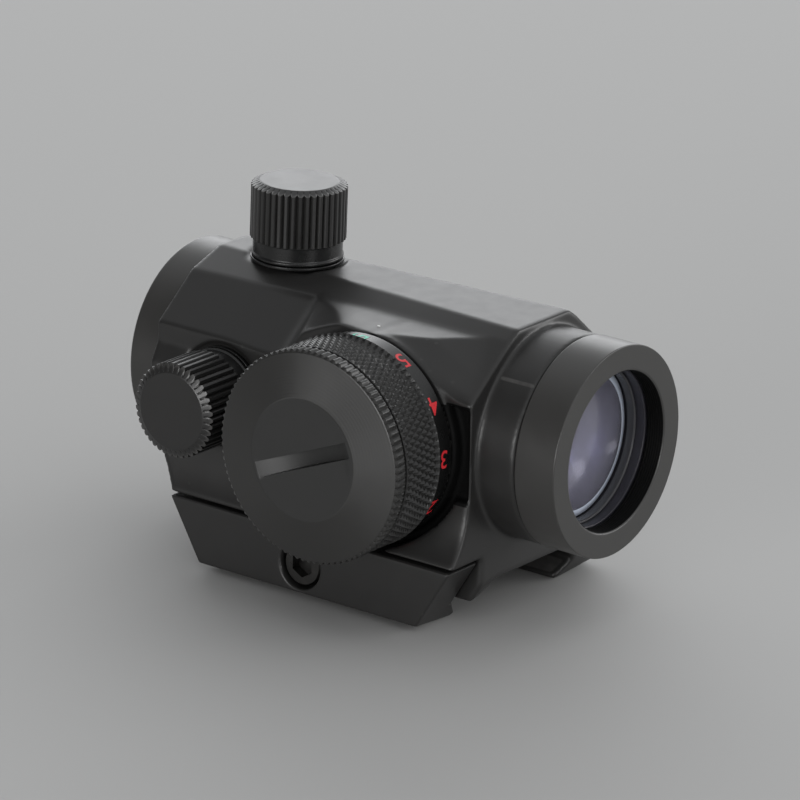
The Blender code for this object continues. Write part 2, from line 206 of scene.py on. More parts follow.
def turned(name, outline, sides, place, direction, body, slot, material, closed=False, relief=None):
    """A turned piece: its outline spun about an axis that starts at place and runs along direction."""
    points, quads = spin(outline, sides, closed, relief)
    faces = weld_poles(points, quads)
    piece = add_mesh(name, points, faces, body, slot, material)
    lay_along(piece, place, direction)
    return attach(piece, body)


def lay_along(piece, place, direction):
    """Moves a piece so that its local Z runs from place along direction."""
    turn = Vector((0, 0, 1)).rotation_difference(Vector(direction)).to_matrix().to_4x4()
    piece.matrix_world = Matrix.Translation(Vector(place) * MM) @ turn


def cut(piece, tool):
    """Takes the tool's shape out of the piece, and removes the tool."""
    change = piece.modifiers.new("cut", "BOOLEAN")
    change.object, change.operation, change.solver = tool, "DIFFERENCE", "EXACT"
    bpy.context.view_layer.update()
    result = bpy.data.meshes.new_from_object(piece.evaluated_get(bpy.context.evaluated_depsgraph_get()))
    piece.modifiers.clear()
    piece.data = result
    bpy.data.objects.remove(tool)
    result.polygons.foreach_set("use_smooth", np.ones(len(result.polygons), bool))
    result.set_sharp_from_angle(angle=math.radians(40))


# ---------------------------------------------------------------- solid fields

def soft_min(a, b, reach):
    """The smaller of two fields, blended where they differ by less than reach."""
    fade = np.clip(reach - np.abs(a - b), 0, None) / np.maximum(reach, 1e-6)
    return np.minimum(a, b) - fade * fade * reach / 4


def beyond(p, q, u, v):
    """Distance of (u, v) past the line from p to q, counted to its left."""
    du, dv = q[0] - p[0], q[1] - p[1]
    return (-dv * (u - p[0]) + du * (v - p[1])) / np.hypot(du, dv)


def smooth_step(t):
    t = np.clip(t, 0, 1)
    return t * t * (3 - 2 * t)


def polygon(points, u, v):
    """Signed distance to a closed outline, negative inside it."""
    nearest = np.full(np.broadcast(u, v).shape, 1e9)
    inside = np.zeros(nearest.shape, bool)
    for (u0, v0), (u1, v1) in zip(points, points[1:] + points[:1]):
        du, dv = u1 - u0, v1 - v0
        along = np.clip(((u - u0) * du + (v - v0) * dv) / (du * du + dv * dv), 0, 1)
        nearest = np.minimum(nearest, np.hypot(u - u0 - along * du, v - v0 - along * dv))
        if dv:
            crosses = ((v0 > v) != (v1 > v)) & (u < u0 + (v - v0) * du / dv)
            inside ^= crosses
    return np.where(inside, -nearest, nearest)


def bore(radius, u, v, u0, v0):
    """Positive inside a round hole through the (u, v) plane."""
    return radius - np.hypot(u - u0, v - v0)


def grid(low, high, cell):
    """Three axes of grid positions, shaped to broadcast together."""
    axes = [np.arange(a, b + cell, cell, dtype=np.float32) for a, b in zip(low, high)]
    return axes[0][:, None, None], axes[1][None, :, None], axes[2][None, None, :]


def blurred(field):
    """The field with its creases rounded by about a grid cell."""
    for axis in range(3):
        middle_part = field.copy()
        inner = [slice(None)] * 3
        before, after = list(inner), list(inner)
        inner[axis], before[axis], after[axis] = slice(1, -1), slice(None, -2), slice(2, None)
        middle_part[tuple(inner)] = (field[tuple(inner)] * 2 + field[tuple(before)] + field[tuple(after)]) / 4
        field = middle_part
    return field


def surface(field, low, cell):
    """Points and quads of the field's zero surface, with one point in each grid cell that it crosses."""
    cells = np.array(field.shape) - 1
    total = int(np.prod(cells))
    sums = [np.zeros(total) for _ in range(3)]
    count = np.zeros(total)
    quads = []
    for axis in range(3):
        a_part, b_part = [slice(None)] * 3, [slice(None)] * 3
        a_part[axis], b_part[axis] = slice(None, -1), slice(1, None)
        a, b = field[tuple(a_part)], field[tuple(b_part)]
        start = np.argwhere((a < 0) != (b < 0))
        u, v = (axis + 1) % 3, (axis + 2) % 3
        inner = (start[:, u] > 0) & (start[:, v] > 0) & (start[:, u] < cells[u]) & (start[:, v] < cells[v])
        start = start[inner]
        value_a, value_b = a[tuple(start.T)], b[tuple(start.T)]
        crossing = start.astype(float)
        crossing[:, axis] += value_a / (value_a - value_b)
        corners = []
        for du, dv in ((-1, -1), (0, -1), (0, 0), (-1, 0)):
            cell_index = start.copy()
            cell_index[:, u] += du
            cell_index[:, v] += dv
            flat = np.ravel_multi_index(tuple(cell_index.T), cells)
            corners.append(flat)
            count += np.bincount(flat, minlength=total)
            for k in range(3):
                sums[k] += np.bincount(flat, weights=crossing[:, k], minlength=total)
        face = np.stack(corners, 1)
        face[value_a >= 0] = face[value_a >= 0][:, ::-1]
        quads.append(face)
    used = np.flatnonzero(count)
    number = np.full(total, -1)
    number[used] = np.arange(len(used))
    points = np.stack([s[used] / count[used] for s in sums], 1) * cell + np.array(low)
    return points, number[np.concatenate(quads)]


# ---------------------------------------------------------------- the body

def body_side(along, z):
    """Half width of the body: upright above, flaring out to the base below."""
    flare_run, middle_run, top_run = 8.9, 6.0, 2.4
    flare_power = 2.6
    upper = 15.2 - 1.3 * along
    waist = 15.4 - 1.7 * along
    flare = waist + (SIDE_X - waist) * np.clip((FLARE_Z - z) / flare_run, 0, 1) ** flare_power
    middle_part = upper + (waist - upper) * np.clip((MIDDLE_Z - z) / middle_run, 0, 1)
    top = TOP_SIDE_X + (upper - TOP_SIDE_X) * np.clip((TOP_SIDE_Z - z) / top_run, 0, 1)
    return np.where(z < FLARE_Z, flare, np.where(z < MIDDLE_Z, middle_part, top))


def body_shell(x, y, z):
    """Outside of the body: roof, two sloped facets a side, and the swell over the dial."""
    along = np.clip((y - BODY_REAR_Y) / 46, 0, 1)
    roof_edge = 2.39 + 2.77 * along
    crease_x, crease_z = 7.68 - 0.98 * along, 28.07 + 0.8 * along
    across = np.abs(x)
    facet = beyond((roof_edge, ROOF_Z), (crease_x, crease_z), across, z)
    shoulder = beyond((crease_x, crease_z), (TOP_SIDE_X, 22.9), across, z)
    side = across - body_side(along, z)
    roof = z - ROOF_Z
    plain = np.maximum(np.maximum(facet, shoulder), np.maximum(side, roof))

    boss = np.hypot(y, z - AXIS_Z) - BOSS_R
    outward = np.clip((x - 11.0) / 3.2, 0, 1)
    reach = 9.0 - 7.0 * outward * (y > 0)
    reach = reach - (reach - 4.0).clip(0, None) * np.clip((y - 4.0) / 10.0, 0, 1)
    cover = soft_min(shoulder, boss, reach)
    limit = np.minimum(side, np.maximum(boss, x - BOSS_X))
    crown = np.where(y < PANEL_FRONT_Y, facet, soft_min(facet, z - SHELF_Z, 0.35))
    near = np.maximum(np.maximum(cover, limit), np.maximum(crown, roof))

    sink = 0.3 * smooth_step((y + 22.5) / 8.0)
    panel = shoulder + sink
    ramp = y - PANEL_FRONT_Y - 0.9 * panel
    near = np.maximum(near, np.minimum(soft_min(panel, -ramp, 1.5), x - crease_x))
    return np.where(x > 0, near, plain)


def body_base(x, y, z):
    """Ends of the body and the rail channel under it."""
    under = [(SIDE_X + 1, SPLIT_Z), (FLANK_X, SPLIT_Z), (FLANK_X, FLANK_Z), (SEAT_X, 0.0),
             (-SEAT_X, 0.0), (-FLANK_X, FLANK_Z), (-8.4, -4.95), (-9.0, -5.4),
             (-SIDE_X - 1, -4.55), (-SIDE_X - 1, 40.0), (SIDE_X + 1, 40.0)]
    front = np.maximum(y - BODY_FRONT_Y, beyond((11.8, -4.4), (BODY_FRONT_Y, 0.0), y, z) * -1)
    rear = np.maximum(BODY_REAR_Y - y, beyond((BODY_REAR_Y, 12.0), (-22.5, -4.6), y, z) * -1)
    return np.maximum(polygon(under, x, z), np.maximum(front, rear))


def body_openings(x, y, z):
    """Positive inside everything that is cut from the body."""
    axis_bore = bore(BORE_R, x, z, 0.0, AXIS_Z)
    around = np.hypot(y, z - AXIS_Z)
    dial_room = np.minimum(DIAL_ROOM_R - around, x - BOSS_X)
    lower = np.where(y > 0, POCKET_FOOT_Z - z, AXIS_Z + MOAT_RISE * np.abs(y) - z)
    moat = np.minimum(np.minimum(13.35 - around, lower), around - BOSS_R - 0.05)
    pocket = np.minimum(np.minimum(13.85 - y, around - BOSS_R - 0.05),
                        np.minimum(z - POCKET_FOOT_Z, POCKET_TOP_Z - z))
    pocket = np.minimum(pocket, y)
    channel = np.minimum(np.maximum(moat, pocket), x - MOAT_FLOOR_X)
    switch_room = np.minimum(9.6 - around, x - 12.3)
    spindle = np.minimum(1.5 - around, np.minimum(x - 5.0, 14.0 - x))
    detent = np.minimum(bore(1.0, y, z, 0.0, AXIS_Z + 10.8), x - 8.3)
    turret = y - TURRET_Y
    roof_spot = np.minimum(SPOT_R - np.hypot(x, turret), z - AXIS_Z - 13.1)
    side_spot = np.minimum(SPOT_R - np.hypot(z - AXIS_Z, turret), x - 13.55)
    roof_hole = np.minimum(ADJUSTER_HOLE_R - np.hypot(x, turret), z - AXIS_Z)
    side_hole = np.minimum(ADJUSTER_HOLE_R - np.hypot(z - AXIS_Z, turret), x)
    down = -(x + z - AXIS_Z) / math.sqrt(2)
    sideways = np.hypot(turret, (x - z + AXIS_Z) / math.sqrt(2))
    spring = np.minimum(1.9 - sideways, np.minimum(down - 5.0, 17.2 - down))
    bolt_hole = np.minimum(bore(BOLT_HOLE_R, y, z, BOLT.y, BOLT.z), np.minimum(x + 20.0, 13.0 - x))
    nut_hole = np.minimum(bore(3.1, y, z, BOLT.y, BOLT.z), -11.5 - x)
    result = np.maximum(axis_bore, dial_room)
    for opening in (channel, switch_room, spindle, detent, roof_spot, side_spot, roof_hole, side_hole,
                    spring, bolt_hole, nut_hole):
        result = np.maximum(result, opening)
    return result


def assign(piece, number, test):
    """Gives another of the piece's materials to the faces whose centres, in millimetres, pass the test."""
    count = len(piece.data.polygons)
    centres, numbers = np.empty(count * 3), np.empty(count, np.int32)
    piece.data.polygons.foreach_get("center", centres)
    piece.data.polygons.foreach_get("material_index", numbers)
    chosen = test(*(centres.reshape(-1, 3).T / MM))
    numbers[chosen] = number
    piece.data.polygons.foreach_set("material_index", numbers)


def in_channel(x, y, z):
    """Faces of the channel round the dial boss, out to the face that the dial turns against; these take painted shade.
    """
    around = np.hypot(y, z - AXIS_Z)
    below = z < np.where(y > 0, 22.3, AXIS_Z + 0.2 + MOAT_RISE * np.abs(y))
    in_moat = (around > 11.9) & (around < 13.6) & (x > 12.3) & (x < BOSS_X + 0.1) & below
    in_pocket = (y > 9.0) & (y < 14.1) & (np.abs(z - 16.5) < 6.0) & (around > 11.9) & (x > 12.3) & (x < 14.0)
    return in_moat | in_pocket


def body_piece(material, painted_shade):
    low, high = (-17.4, -32.8, -6.2), (17.4, 20.4, 30.8)
    x, y, z = grid(low, high, CELL)
    solid = np.maximum(body_shell(x, y, z), body_base(x, y, z))
    ring = np.hypot(x, z - AXIS_Z) - COLLAR_R
    front_collar = np.maximum(ring, np.maximum(y - 19.6, 10.3 - y))
    rear_collar = np.maximum(ring, np.maximum(BODY_REAR_Y - y, y + 20.0))
    solid = np.minimum(solid, np.minimum(front_collar, rear_collar))
    solid = np.maximum(solid, body_openings(x, y, z)).astype(np.float32)
    points, quads = surface(blurred(solid), low, CELL)
    piece = add_mesh("body_shell", points, quads.tolist(), "housing", "anodised_shell", material, painted_shade)
    # Painted shade: the channel round the dial boss takes a near-black material where it lies in shadow.
    assign(piece, 1, in_channel)
    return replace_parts(piece, "housing")


def clamp_piece(material):
    """The loose jaw plate under the dial, with its counterbored bolt hole."""
    low, high = (8.0, -33.6, -6.0), (17.2, 19.6, 3.6)
    x, y, z = grid(low, high, PLATE_CELL)
    top = span("clamp_plate")[1].z
    outline = [(10.95, top), (SIDE_X, top), (SIDE_X, -4.6), (9.0, -5.4), (8.6, -5.0),
               (10.5, -3.1), (10.95, -3.1)]
    section = polygon(outline, x, z)
    fall = z - 3.0
    front = (y - 14.0 - 0.589 * fall) * 0.86
    rear = (-27.0 - 0.603 * fall - y) * 0.86
    hole = bore(BOLT_HOLE_R, y, z, BOLT.y, BOLT.z)
    counterbore = np.minimum(bore(2.9, y, z, BOLT.y, BOLT.z), x - 13.5)
    solid = np.maximum(np.maximum(section, np.maximum(front, rear)), np.maximum(hole, counterbore))
    points, quads = surface(blurred(solid.astype(np.float32)), low, PLATE_CELL)
    piece = add_mesh("jaw_plate", points, quads.tolist(), "clamp_plate", "anodised_shell", material)
    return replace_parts(piece, "clamp_plate")


# ---------------------------------------------------------------- turned pieces

def wave(phase):
    """Triangle wave from 0 at whole numbers to 1 half way between them."""
    return 1 - np.abs((phase % 1.0) * 2 - 1)


def ends_fade(h, low, high, reach):
    return np.clip((h - low) / reach, 0, 1) * np.clip((high - h) / reach, 0, 1)


def straight_ridges(count, depth, low, high, flat=0.45, reach=0.12):
    """Relief of straight knurling with flat-topped ridges between two heights."""
    def relief(angle, r, h):
        ridge = wave(angle * count / (2 * math.pi))
        groove = 1 - np.clip(ridge / (1 - flat), 0, 1)
        return depth * groove * ends_fade(h, low, high, reach) * (r > 0.9 * r.max())
    return relief


def diamond_knurl(around, rise, depth, low, high):
    """Relief of two crossed families of V grooves; each family shifts by one groove in rise."""
    def relief(angle, r, h):
        turns = angle * around / (2 * math.pi)
        left, right = wave(turns + h / rise), wave(turns - h / rise)
        groove = 1 - np.minimum(left, right)
        return depth * groove * ends_fade(h, low, high, 0.15) * (r > 0.9 * r.max())
    return relief


def objective_ring(material, thread):
    """Screw-in front ring; fine thread grooves line its mouth and take painted shade."""
    mouth, lip = FRONT_Y, FRONT_Y - 2.3
    outline = soften([(11.1, 15.6), (11.1, 19.72), (RING_R, 19.72), (RING_R, mouth), (9.8, mouth),
                      (9.65, mouth - 0.12)], 0.12)
    pitch, h = 0.32, mouth - 0.2
    while h > lip + 0.2:
        outline += [(9.58, h), (9.58, h - 0.05), (9.82, h - pitch / 2), (9.58, h - pitch + 0.05)]
        h -= pitch
    outline += [(9.60, lip), (9.75, lip - 0.02), (10.6, lip - 0.02), (10.6, 15.6)]
    piece = turned("objective_ring", outline, 160, *OPTIC_AXIS, "housing", "anodised_ring", material,
                   closed=True)
    piece.data.materials.append(thread)
    # Painted shade: the thread grooves in the mouth take the near-black material.
    assign(piece, 1, lambda x, y, z: (np.hypot(x, y) < 9.95) & (z > lip - 0.1) & (z < mouth - 0.1))
    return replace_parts(piece, "front_ring")


def sight_tube(material):
    """Inner tube that carries the optics."""
    front, rear = span("optical_tube")[1].y, span("optical_tube")[0].y
    outline = soften([(8.6, rear), (10.3, rear), (10.3, front), (9.5, front), (9.5, 15.7),
                      (8.9, 15.2), (8.9, 12.0), (9.4, 11.0), (9.4, rear + 1.5), (8.6, rear + 1.5)], 0.1, closed=True)
    piece = turned("sight_tube", outline, 120, *OPTIC_AXIS, "tube", "anodised_inner", material,
                   closed=True)
    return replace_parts(piece, "optical_tube")


def objective_lens(material, ground, coating):
    """Domed front element with a ground edge, and the rear element with its reflecting coat."""
    back = span("objective_crown")[0].y
    outline = [(0.0, back), (9.0, back), (9.15, back + 0.15), (9.15, 19.95), (8.35, 20.2)]
    outline += [(r, 20.0 + 1.0 - r * r / 84.64) for r in np.linspace(8.2, 0.0, 24)]
    crown = turned("front_element", outline, 120, *OPTIC_AXIS, "tube", "coated_glass", material)
    crown.data.materials.append(ground)
    assign(crown, 1, lambda x, y, z: (np.hypot(x, y) > 8.25) & (z > back + 0.3))
    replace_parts(crown, "objective_crown")
    low, high = span("objective_flint")
    outline = [(0.0, low.y), (8.9, low.y), (9.1, low.y + 0.2), (9.1, high.y - 0.2), (8.9, high.y),
               (0.0, high.y)]
    flint = turned("rear_element", outline, 96, *OPTIC_AXIS, "tube", "coated_glass", material)
    flint.data.materials.append(coating)
    assign(flint, 1, lambda x, y, z: z < low.y + 0.1)
    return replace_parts(flint, "objective_flint")


def lens_ring(material):
    """Thin threaded ring that holds the front element."""
    low, high = span("objective_retainer")
    outline = soften([(9.15, low.y), (9.44, low.y), (9.44, high.y), (9.25, high.y),
                      (9.15, high.y - 0.15)], 0.05, closed=True)
    piece = turned("lens_ring", outline, 120, *OPTIC_AXIS, "tube", "anodised_inner", material,
                   closed=True)
    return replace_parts(piece, "objective_retainer")


def eyepiece_ring(material):
    """Screw-in rear ring with a dished face."""
    back = REAR_Y
    outline = soften([(10.2, back + 8.6), (10.2, back + 1.7), (8.6, back + 1.5), (8.6, back + 0.9),
                      (9.4, back + 0.15), (9.8, back), (RING_R - 0.3, back), (RING_R, back + 0.3), (RING_R, back + 4.8),
                      (11.1, back + 4.8), (11.1, back + 8.6)], 0.14, closed=True)
    piece = turned("eyepiece_ring", outline[::-1], 128, *OPTIC_AXIS, "housing", "anodised_ring",
                   material, closed=True)
    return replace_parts(piece, "rear_ring")


def brightness_dial(material, band_and_painted_shade):
    """Rotary dial: diamond-knurled grip outside the plain number band."""
    outline = [(2.7, 14.9)] + soften([(2.7, 14.9), (BAND_R, 14.9), (BAND_R, 17.3), (DIAL_R, 17.5)], 0.1)[1:-1]
    outer = span("dial")[1].x
    outline += rows(17.5, outer - 0.2, 0.13, DIAL_R)
    outline += soften([(DIAL_R, outer - 0.2), (12.5, outer), (12.0, outer), (12.0, outer - 0.8),
                       (11.3, outer - 0.8), (11.3, 20.5), (10.7, 20.3), (10.7, 17.5), (2.7, 17.5)], 0.1)[1:]
    piece = turned("brightness_dial", outline, 696, (0, 0, AXIS_Z), (1, 0, 0), "dial",
                   "anodised_dial", material, closed=True,
                   relief=diamond_knurl(87, 1.6, 0.42, 17.5, outer - 0.1))
    piece.data.set_sharp_from_angle(angle=math.radians(24))
    piece.data.materials.append(band_and_painted_shade)
    assign(piece, 1, lambda x, y, z: z < 17.45)
    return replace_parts(piece, "dial")


def adjuster_cap(node, name, shift, direction, material, neck):
    """Screw cap of an adjuster: straight ridges between a chamfered top and a plain neck; the neck takes painted shade.
    """
    top = TURRET_TOP + shift
    foot = top - 8.59
    outline = soften([(4.4, foot - 0.55), (5.5, foot - 0.55), (5.5, foot - 0.25), (5.36, foot - 0.1),
                      (5.36, foot + 1.55), (CAP_R, foot + 1.7)], 0.08)
    outline += rows(foot + 1.8, top - 0.75, 0.5, CAP_R) + rows(top - 0.7, top - 0.3, 0.05, CAP_R)
    outline += soften([(CAP_R - 0.45, top - 0.25), (4.6, top), (0.0, top)], 0.1)
    outline += soften([(0.0, top - 1.4), (4.4, top - 1.4), (4.4, foot - 0.55)], 0.1)[:-1]
    points, quads = spin(outline, 504, True, straight_ridges(42, 0.42, foot + 1.55, top + 1.0, flat=0.4))
    chamfer = top - (np.hypot(points[:, 0], points[:, 1]) - 4.6) * CHAMFER_SLOPE
    points[:, 2] = np.where(points[:, 2] > top - 1.3, np.minimum(points[:, 2], chamfer), points[:, 2])
    piece = add_mesh(name, points, weld_poles(points, quads), node, "anodised_cap", material, neck)
    # Painted shade: the neck takes the near-black material, dark as if shadowed under the ridges.
    assign(piece, 1, lambda x, y, z: z < foot + 1.58)
    lay_along(piece, (0, TURRET_Y, AXIS_Z), direction)
    piece.data.set_sharp_from_angle(angle=math.radians(24))
    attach(piece, node)
    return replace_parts(piece, node)


def adjuster_seat(node, name, shift, direction, material):
    """Flanged bush that an adjuster cap screws on, with its thread cut round the stub."""
    base = TURRET_TOP - 9.64 + shift
    outline = soften([(3.2, 11.9), (3.2, base), (5.6, base), (5.6, base + 0.35), (4.0, base + 0.35)], 0.08)
    h = base + 0.6
    while h < base + 4.5:
        outline += [(3.85, h), (4.08, h + 0.2), (4.08, h + 0.25), (3.85, h + 0.45)]
        h += 0.5
    outline += [(3.95, base + 4.8), (2.9, base + 4.8), (2.9, 15.4), (1.4, 15.4), (1.4, 11.9)]
    piece = turned(name, outline, 96, (0, TURRET_Y, AXIS_Z), direction, "housing", "anodised_inner",
                   material, closed=True)
    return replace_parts(piece, node)


def battery_cap(material, disc_material):
    """Coin-slotted battery cap: toothed rim, turned cone and a flat middle with the slot across it."""
    outer = span("battery_cap")[1].x
    seam = span("dial")[1].x + 0.3
    outline = [(0.0, 23.2), (10.3, 23.2), (10.3, 21.0), (11.0, 21.0), (11.0, seam)]
    outline += soften([(11.0, seam), (12.55, seam), (DIAL_R - 0.05, seam + 0.15)], 0.05)[1:-1]
    outline += rows(seam + 0.2, 25.35, 0.3, DIAL_R)
    outline += soften([(DIAL_R, 25.4), (DIAL_R - 0.35, 25.62), (CONE_R, outer)], 0.08)[:-1]
    outline += [(r, 25.62 + (outer - 25.62) * (DIAL_R - 0.35 - r) / (DIAL_R - 0.35 - CONE_R))
                for r in np.arange(12.0, CONE_R + 0.1, -0.18)]
    outline += [(CONE_R + 0.02, outer - 0.004), (CONE_R - 0.05, outer), (CONE_R - 0.2, outer)]
    teeth = straight_ridges(92, 0.3, seam + 0.05, 25.6, flat=0.3, reach=0.05)
    points, quads = spin(outline, 736, relief=teeth)
    last = len(outline) - 1
    faces = weld_poles(points, quads) + [list(range(last, len(points), len(outline)))]
    piece = add_mesh("coin_slot_cap", points, faces, "battery_cap", "anodised_cap", material, disc_material)
    across = np.hypot(points[:, 0], points[:, 1])
    mesh = piece.data
    for face in mesh.polygons:
        corners = list(face.vertices)
        if across[corners].max() < CONE_R + 0.01 and points[corners, 2].min() > outer - 2.2:
            face.material_index = 1
    lay_along(piece, (0, 0, AXIS_Z), (1, 0, 0))
    turn = math.radians(SLOT_TURN)
    tool = turned("slot_tool", [(0, -0.95), (SLOT_CUTTER_R, -0.95), (SLOT_CUTTER_R, 0.95), (0, 0.95)], 200,
                  (outer - SLOT_DEPTH + SLOT_CUTTER_R, 0, AXIS_Z), (0, -math.sin(turn), math.cos(turn)),
                  "battery_cap", "anodised_cap", disc_material)
    cut(piece, tool)
    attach(piece, "battery_cap")
    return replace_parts(piece, "battery_cap")


def band_figure(text, bearing, name, slot, material):
    """One filled figure on the number band, its head pointing the way the bearing falls."""
    curve = bpy.data.curves.new(name, "FONT")
    curve.body, curve.size, curve.resolution_u = text, FIGURE_SIZE, 6
    curve.align_x, curve.align_y, curve.offset = "CENTER", "CENTER", 0.02
    text_object = bpy.data.objects.new(name, curve)
    bpy.context.scene.collection.objects.link(text_object)
    flat = bpy.data.meshes.new_from_object(text_object.evaluated_get(bpy.context.evaluated_depsgraph_get()))
    bpy.data.objects.remove(text_object)
    sheet = bmesh.new()
    sheet.from_mesh(flat)
    bmesh.ops.remove_doubles(sheet, verts=sheet.verts, dist=1e-4)
    bmesh.ops.triangulate(sheet, faces=sheet.faces)
    for _ in range(2):
        bmesh.ops.subdivide_edges(sheet, edges=[e for e in sheet.edges if e.calc_length() > 0.25], cuts=1)
    points = []
    for vertex in sheet.verts:
        angle = math.radians(bearing) - vertex.co.y / BAND_R
        radius = BAND_R + 0.02
        points.append((BAND_X + vertex.co.x, radius * math.cos(angle), AXIS_Z + radius * math.sin(angle)))
    sheet.verts.index_update()
    faces = [[v.index for v in face.verts] for face in sheet.faces]
    sheet.free()
    return add_mesh(name, points, faces, "dial", slot, material)


def band_figures(finishes):
    """Every figure on the number band, each in its own paint."""
    for i, (text, colour) in enumerate(FIGURES):
        slot = colour + "_paint"
        band_figure(text, FIRST_BEARING + FIGURE_STEP * i, "figure_" + str(i), slot, finishes[slot])


def index_dot(material):
    """White dot on the shelf over the dial."""
    place = middle("index_mark")
    outline = [(0.0, -0.1), (0.2, -0.1), (0.2, 0.02), (0.15, 0.06), (0.0, 0.08)]
    piece = turned("index_dot", outline, 24, (place.x, place.y, SHELF_Z), (0, 0, 1), "housing",
                   "white_paint", material)
    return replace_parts(piece, "index_mark")


# ---------------------------------------------------------------- materials

def node(tree, kind, **values):
    """A shader node with its properties and input values set by name."""
    made = tree.nodes.new(kind)
    for key, value in values.items():
        if key in made.inputs:
            made.inputs[key].default_value = value
        else:
            setattr(made, key, value)
    return made


def surface_shader(name, roughness, colour, **sockets):
    """A material with its Principled shader, and the coordinates its patterns are laid out in."""
    material = bpy.data.materials.new(name)
    material.use_nodes = True
    tree = material.node_tree
    shader = tree.nodes["Principled BSDF"]
    shader.inputs["Base Color"].default_value = (*colour, 1.0)
    shader.inputs["Roughness"].default_value = roughness
    for key, value in sockets.items():
        shader.inputs[key.replace("_", " ")].default_value = value
    return material, tree, shader, node(tree, "ShaderNodeTexCoord").outputs["Object"]


def vary(tree, target, coords, scale, low, high, detail=3.0):
    """Cloudy variation of a number between low and high."""
    noise = node(tree, "ShaderNodeTexNoise", Scale=scale, Detail=detail)
    tree.links.new(coords, noise.inputs["Vector"])
    spread = node(tree, "ShaderNodeMapRange")
    for key, value in (("From Min", 0.3), ("From Max", 0.7), ("To Min", low), ("To Max", high)):
        spread.inputs[key].default_value = value
    tree.links.new(noise.outputs["Fac"], spread.inputs["Value"])
    tree.links.new(spread.outputs["Result"], target)


def grain(tree, shader, coords, scale, strength, depth=0.00002):
    """Fine even bump."""
    noise = node(tree, "ShaderNodeTexNoise", Scale=scale, Detail=2.0)
    tree.links.new(coords, noise.inputs["Vector"])
    bump = node(tree, "ShaderNodeBump", Strength=strength, Distance=depth)
    tree.links.new(noise.outputs["Fac"], bump.inputs["Height"])
    tree.links.new(bump.outputs["Normal"], shader.inputs["Normal"])


def colour_mix(tree, shader, factor, plain, other):
    """Base colour that goes from plain to other with factor."""
    mix = node(tree, "ShaderNodeMix", data_type="RGBA")
    factor_input, plain_input, other_input, colour_output = 0, 6, 7, 2     # sockets of the colour type
    mix.inputs[plain_input].default_value = (*plain, 1.0)
    mix.inputs[other_input].default_value = (*other, 1.0)
    tree.links.new(factor, mix.inputs[factor_input])
    tree.links.new(mix.outputs[colour_output], shader.inputs["Base Color"])


def anodised(name, colour=(0.019, 0.0185, 0.018), roughness=0.38, grain_scale=5200.0, strength=0.18,
             wear=0.5):
    """Black anodised aluminium: blasted grain, faint cloudiness and edges worn a little paler."""
    material, tree, shader, coords = surface_shader(name, roughness, colour)
    vary(tree, shader.inputs["Roughness"], coords, 500.0, roughness - 0.02, roughness + 0.02)
    grain(tree, shader, coords, grain_scale, strength)
    geometry = node(tree, "ShaderNodeNewGeometry")
    edge = node(tree, "ShaderNodeMapRange")
    for key, value in (("From Min", 0.60), ("From Max", 0.75), ("To Max", wear)):
        edge.inputs[key].default_value = value
    tree.links.new(geometry.outputs["Pointiness"], edge.inputs["Value"])
    patches = node(tree, "ShaderNodeTexNoise", Scale=900.0, Detail=4.0)
    tree.links.new(coords, patches.inputs["Vector"])
    worn = node(tree, "ShaderNodeMath", operation="MULTIPLY")
    tree.links.new(edge.outputs["Result"], worn.inputs[0])
    tree.links.new(patches.outputs["Fac"], worn.inputs[1])
    colour_mix(tree, shader, worn.outputs["Value"], colour, (0.16, 0.155, 0.15))
    return material


def lathe_turned(name, roughness=0.3, strength=0.25, pitch=0.06, anisotropy=0.75):
    """Black anodised metal with the fine rings a lathe leaves, about local Z."""
    colour = (0.024, 0.0235, 0.0225)
    material, tree, shader, coords = surface_shader(name, roughness, colour, Anisotropic=anisotropy)
    tangent = node(tree, "ShaderNodeTangent", direction_type="RADIAL", axis="Z")
    tree.links.new(tangent.outputs["Tangent"], shader.inputs["Tangent"])
    rings = node(tree, "ShaderNodeTexWave", wave_type="RINGS", rings_direction="Z",
                 Scale=1.0 / (pitch * MM) / 20, Distortion=0.0, Detail=0.0)
    tree.links.new(coords, rings.inputs["Vector"])
    bump = node(tree, "ShaderNodeBump", Strength=strength, Distance=0.000006)
    tree.links.new(rings.outputs["Fac"], bump.inputs["Height"])
    tree.links.new(bump.outputs["Normal"], shader.inputs["Normal"])
    vary(tree, shader.inputs["Roughness"], coords, 300.0, roughness - 0.02, roughness + 0.02)
    return material


def metal(name, colour, roughness, grain_scale=3000.0, strength=0.1):
    """Bare or coated metal with a fine grain."""
    material, tree, shader, coords = surface_shader(name, roughness, colour, Metallic=1.0)
    vary(tree, shader.inputs["Roughness"], coords, 500.0, roughness - 0.06, roughness + 0.06)
    grain(tree, shader, coords, grain_scale, strength)
    return material


def moulded(name, colour, roughness, grain_scale=2500.0, strength=0.12, spread=0.25):
    """Plastic, rubber or paint: slight colour and gloss changes and a moulded grain."""
    material, tree, shader, coords = surface_shader(name, roughness, colour)
    vary(tree, shader.inputs["Roughness"], coords, 350.0, roughness - 0.05, roughness + 0.05)
    grain(tree, shader, coords, grain_scale, strength)
    noise = node(tree, "ShaderNodeTexNoise", Scale=400.0, Detail=3.0)
    tree.links.new(coords, noise.inputs["Vector"])
    colour_mix(tree, shader, noise.outputs["Fac"], tuple(c * (1 - spread) for c in colour),
               tuple(min(1.0, c * (1 + spread)) for c in colour))
    return material


def glass(name, colour, roughness=0.03, transmission=0.85, **sockets):
    material, tree, shader, coords = surface_shader(name, roughness, colour, Transmission_Weight=transmission,
                                                    IOR=1.52, **sockets)
    vary(tree, shader.inputs["Roughness"], coords, 200.0, roughness, roughness + 0.02)
    return material


def floor_finish():
    """Pale studio card with a faint tooth."""
    material, tree, shader, coords = surface_shader("floor_finish", 0.75, (0.5, 0.497, 0.49))
    grain(tree, shader, coords, 900.0, 0.05)
    return material


# ---------------------------------------------------------------- scene

